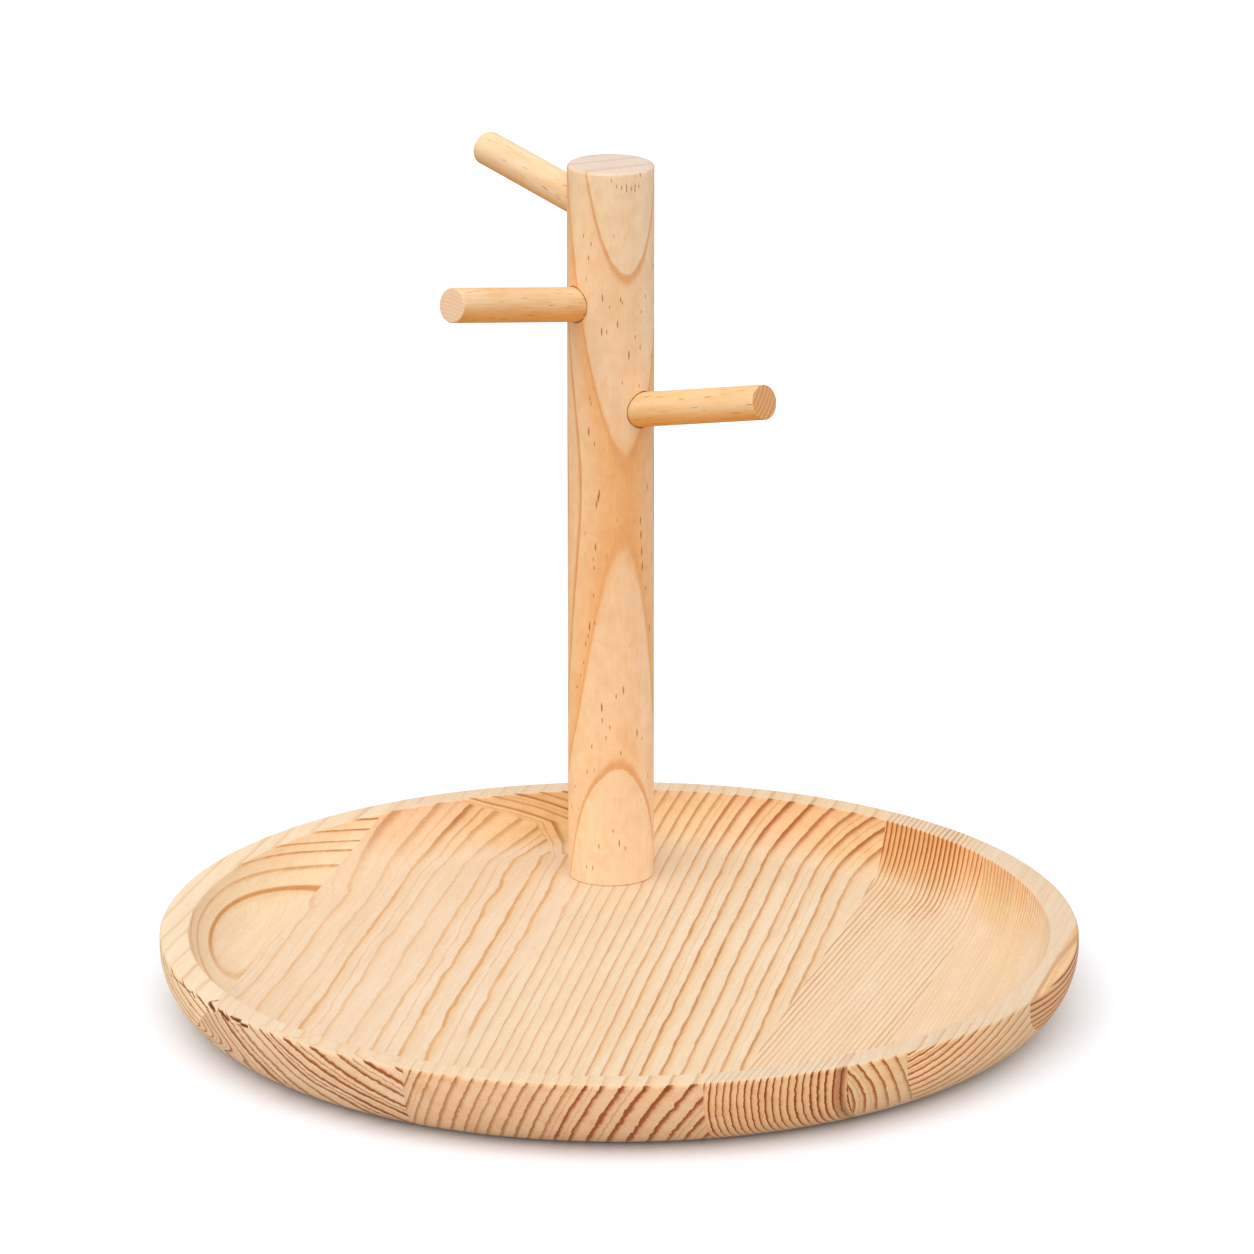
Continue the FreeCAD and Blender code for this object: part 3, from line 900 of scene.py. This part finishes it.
    # thin dark line round each peg's root, partly glue and partly painted shade of the gap at the
    # bore's mouth
    for az, tilt, z0, reach, aside in PEGS.values():
        d = peg_dir(az, tilt)
        ra = math.radians(az)
        o = g.vmad(q, (1, 1, 1), (aside * math.sin(ra), -aside * math.cos(ra), -z0))
        al = g.dot(o, tuple(d))
        rr = g.m("SQRT", g.sub(g.dot(o, o), g.mul(al, al)))
        glue_and_shade_line = g.mul(g.ramp(rr, 6.2, 6.55, 1.0, 0.0), g.ramp(al, 0.0, 2.0))
        glue_and_shade_line = g.mul(glue_and_shade_line, g.ramp(fine, 0.3, 0.6, 0.4, 1.0))
        col = g.mix(g.mul(glue_and_shade_line, 0.95), col, lin(112, 56, 20))
    g.put(g.bsdf.inputs["Base Color"], col)
    ro = g.mad(g.sub(fib, 0.5), 0.14, 0.56)
    ro = g.mad(mark, 0.1, ro)
    g.put(g.bsdf.inputs["Roughness"], ro)
    g.bsdf.inputs["Specular IOR Level"].default_value = 0.28
    g.put(g.bsdf.inputs["Normal"], g.bump(fib, 0.10, 0.00015))
    return g.mat


# ------------------------------------------------------------------- peg dowels
def peg_wood(name, seed, ring_dir, step, bow, early, late, end_early, end_late, end_mix,
             shade_from, shade_to):
    az, tilt, z0, reach, aside = PEGS[name]
    m = peg_matrix(az, tilt, z0, aside).inverted()
    g = Nodes("dowel_" + name)
    P, Nrm = g.coord()
    rows = [tuple(m[i][:3]) for i in range(3)]
    off = [m[i][3] for i in range(3)]
    x, y, w = (g.mul(g.add(g.dot(P, rows[i]), off[i]), 1000.0) for i in range(3))
    slow = g.noise(g.vec(g.mul(x, 1 / 8.0), g.mul(y, 1 / 8.0), g.mul(w, 1 / 45.0)),
                   detail=1.5, w=seed)
    fine = g.noise(g.vec(g.mul(x, 1 / 0.9), g.mul(y, 1 / 0.9), g.mul(w, 1 / 8.0)),
                   detail=2.0, w=seed + 2.2)
    fib = g.noise(g.vec(g.mul(x, 1 / 0.3), g.mul(y, 1 / 0.3), g.mul(w, 1 / 13.0)),
                  detail=4.0, rough=0.66, w=seed + 4.1)
    ca, sa = math.cos(math.radians(ring_dir)), math.sin(math.radians(ring_dir))
    d = g.add(g.mul(x, ca), g.mul(y, sa))
    c = g.add(g.mul(x, -sa), g.mul(y, ca))
    d = g.mad(g.mul(c, c), bow, d)
    ph = g.mul(d, 1.0 / step)
    ph = g.mad(g.sub(slow, 0.5), 0.5, ph)
    ph = g.mad(g.sub(fine, 0.5), 0.2, ph)
    t = g.m("FRACT", g.add(ph, 20.3))
    lw = g.mul(g.ramp(t, 0.40, 0.86), g.ramp(t, 0.91, 0.99, 1.0, 0.0))
    axis = peg_dir(az, tilt)
    e = g.ramp(g.m("ABSOLUTE", g.dot(Nrm, tuple(axis))), 0.5, 0.9)
    grow = g.noise(g.vec(g.mul(x, 1 / 4.0), g.mul(y, 1 / 4.0), g.mul(w, 1 / 26.0)),
                   detail=3.0, rough=0.55, w=seed + 7.7)
    # painted shade: the lower side of the dowel is darkened and made more orange
    low = g.ramp(g.mad(g.sub(fine, 0.5), 1.2, y), shade_from, shade_to, 0.0, 1.0)
    col = g.mix(g.mad(lw, 0.15, g.ramp(grow, 0.35, 0.68, 0.0, 0.7)), early, late)
    col = g.mix(low, col, g.mix(1.0, col, (0.97, 0.69, 0.32, 1.0), "MULTIPLY"))
    col = g.mix(g.ramp(fib, 0.35, 0.72, 0.0, 0.6), col,
                g.mix(1.0, col, (0.93, 0.84, 0.72, 1.0), "MULTIPLY"))
    # short dark pores along the dowel
    dist, dc = g.voronoi(g.vec(g.mul(x, 1 / 0.8), g.mul(y, 1 / 0.8), g.mul(w, 1 / 12.0)))
    pore = g.mul(g.ramp(dist, 0.08, 0.22, 1.0, 0.0), g.ramp(fib, 0.40, 0.50))
    col = g.mix(g.mul(pore, 0.85), col, lin(160, 84, 26))
    endc = g.mix(g.mul(lw, end_mix), end_early, end_late)
    endc = g.mix(g.ramp(fib, 0.35, 0.7, 0.0, 0.5), endc,
                 g.mix(1.0, endc, (0.93, 0.86, 0.77, 1.0), "MULTIPLY"))
    col = g.mix(e, col, endc)
    g.put(g.bsdf.inputs["Base Color"], col)
    ro = g.mad(g.sub(fib, 0.5), 0.16, 0.54)
    g.put(g.bsdf.inputs["Roughness"], ro)
    g.bsdf.inputs["Specular IOR Level"].default_value = 0.28
    g.put(g.bsdf.inputs["Normal"], g.bump(fib, 0.12, 0.00012))
    return g.mat


# ------------------------------------------------------------------ zinc screw
def zinc():
    g = Nodes("zinc")
    P, Nrm = g.coord()
    n1 = g.noise(P, scale=900.0, detail=3.0)
    n2 = g.noise(P, scale=4200.0, detail=2.0)
    col = g.mix(g.ramp(n1, 0.35, 0.65), lin(196, 190, 176), lin(214, 206, 184))
    g.put(g.bsdf.inputs["Base Color"], col)
    g.bsdf.inputs["Metallic"].default_value = 1.0
    g.put(g.bsdf.inputs["Roughness"], g.mad(n1, 0.22, 0.24))
    g.put(g.bsdf.inputs["Normal"], g.bump(n2, 0.1, 0.00005))
    return g.mat


# ---------------------------------------------------------------------- pieces
for i, ob in enumerate(build_tray()):
    ob.data.materials.append(wood[i])
    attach(ob, "root")
    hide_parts("tray_stave_%d" % (i + 1))

post = build_post()
post.data.materials.clear()
post.data.materials.append(pine_post())
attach(post, "root")
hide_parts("post")

# the last two numbers of each are where the painted shade on the peg's lower side begins and where it
# is full
PEG_LOOK = {
    "peg_back": (5.0, 20.0, 3.4, 0.02, lin(250, 217, 178), lin(240, 192, 136), lin(250, 214, 170),
                 lin(232, 184, 130), 0.5, 1.5, -5.0),
    "peg_left": (15.0, 88.0, 1.3, 0.01, lin(248, 212, 168), lin(235, 180, 116), lin(246, 208, 170),
                 lin(228, 178, 132), 0.45, 2.2, -3.6),
    "peg_right": (29.0, -42.0, 1.7, 0.02, lin(252, 212, 162), lin(240, 190, 127), lin(232, 174, 118),
                  lin(198, 134, 80), 0.75, 1.2, -5.0),
}
for name in PEGS:
    ob = build_peg(name)
    ob.data.materials.append(peg_wood(name, *PEG_LOOK[name]))
    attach(ob, "root")
    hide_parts(name)

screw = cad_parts["post_screw"]
steel = zinc()
if screw.data.materials:
    for i in range(len(screw.material_slots)):
        screw.material_slots[i].material = steel
else:
    screw.data.materials.append(steel)

# ----------------------------------------------------------------------- stage
fb = bmesh.new()
bmesh.ops.create_grid(fb, x_segments=4, y_segments=4, size=14.0)
fm = bpy.data.meshes.new("floor")
fb.to_mesh(fm)
fb.free()
floor = bpy.data.objects.new("floor", fm)
bpy.context.scene.collection.objects.link(floor)
fg = Nodes("pale_floor")
# the floor looks white; it throws light back on the tray's edge close by and less
# from further off, so that the pegs' undersides stay dark
seen = fg.t.nodes.new("ShaderNodeLightPath").outputs["Is Camera Ray"]
close = fg.ramp(fg.vlen(fg.coord()[0]), 0.17, 0.27, 1.0, 0.0)
back = fg.mix(close, (0.35, 0.35, 0.35, 1.0), (0.69, 0.69, 0.69, 1.0))
matt = fg.t.nodes.new("ShaderNodeBsdfDiffuse")
fg.put(matt.inputs["Color"], fg.mix(seen, back, (0.98, 1.01, 1.06, 1.0)))
fg.t.links.new(matt.outputs[0], fg.out.inputs[0])
fg.t.nodes.remove(fg.bsdf)
floor.data.materials.append(fg.mat)

scene = bpy.context.scene
world = bpy.data.worlds.new("studio")
scene.world = world
world.use_nodes = True
bg = world.node_tree.nodes.get("Background")
bg.inputs["Color"].default_value = (1.0, 1.0, 1.0, 1.0)
bg.inputs["Strength"].default_value = 0.72


def sun(name, strength, angle, az, el):
    """Soft light from a direction: azimuth from +X, anticlockwise, and height."""
    d = bpy.data.lights.new(name, "SUN")
    d.energy = strength
    d.angle = math.radians(angle)
    o = bpy.data.objects.new(name, d)
    a, h = math.radians(az), math.radians(el)
    v = Vector((math.cos(h) * math.cos(a), math.cos(h) * math.sin(a), math.sin(h)))
    o.rotation_euler = v.to_track_quat("Z", "Y").to_euler()
    scene.collection.objects.link(o)


sun("key", 1.75, 90.0, -106.0, 57.0)

cam = bpy.data.cameras.new("camera")
cam.sensor_fit = "HORIZONTAL"
cam.sensor_width = 36.0
cam.lens = 216.236
cam.clip_start = 0.05
cam.clip_end = 60.0
co = bpy.data.objects.new("camera", cam)
co.location = (-0.06642, -2.40053, 0.86903)
co.rotation_euler = (math.pi / 2 - 0.2981, 0.0, -0.02876)
scene.collection.objects.link(co)
scene.camera = co

scene.view_settings.view_transform = "Standard"
scene.view_settings.look = "None"
